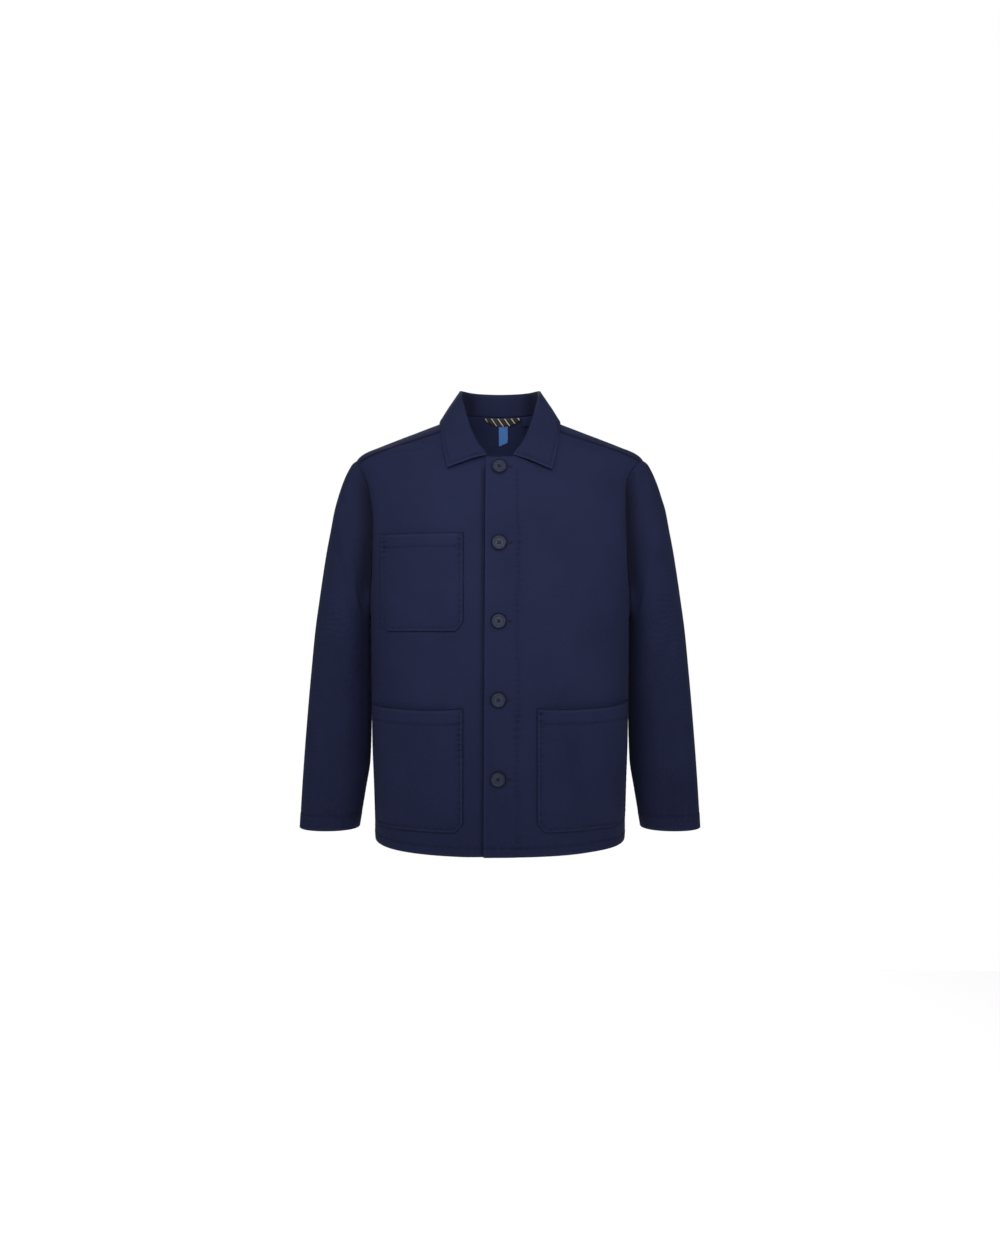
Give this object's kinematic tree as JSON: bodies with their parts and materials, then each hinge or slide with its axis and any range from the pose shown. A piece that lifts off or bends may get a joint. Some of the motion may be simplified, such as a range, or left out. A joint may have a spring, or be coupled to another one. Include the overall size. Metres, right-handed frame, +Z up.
{
  "type": "chore jacket",
  "caption": "Button-front cotton work jacket with turned-down collar, long sleeves, a chest patch pocket and deep hip patch pockets, filled out as if worn.",
  "frame": {"origin": "middle of the neck, level with the tops of the shoulders, where the worn jacket is carried", "axes": "+X to the wearer's left, -Y out of the front, +Z up"},
  "size_m": [0.6684, 0.2937, 0.7616],
  "materials": {
    "twill": "matte navy cotton twill, soft and slightly brushed",
    "button": "slate-navy moulded resin with a soft shine",
    "striped_tape": "black woven tape with diagonal pale gold stripes",
    "blue_tape": "plain mid-blue woven tape, left bare"
  },
  "bodies": {
    "root": {"front_left": "twill", "front_right": "twill", "back": "twill", "sleeve_left": "twill", "sleeve_right": "twill", "collar": "twill", "chest_pocket": "twill", "hip_pocket_left": "twill", "hip_pocket_right": "twill", "button_1": "button", "button_2": "button", "button_3": "button", "button_4": "button", "button_5": "button", "hanger_loop": "striped_tape", "woven_label": "blue_tape", "size_tab": "twill"}
  },
  "joints": []
}
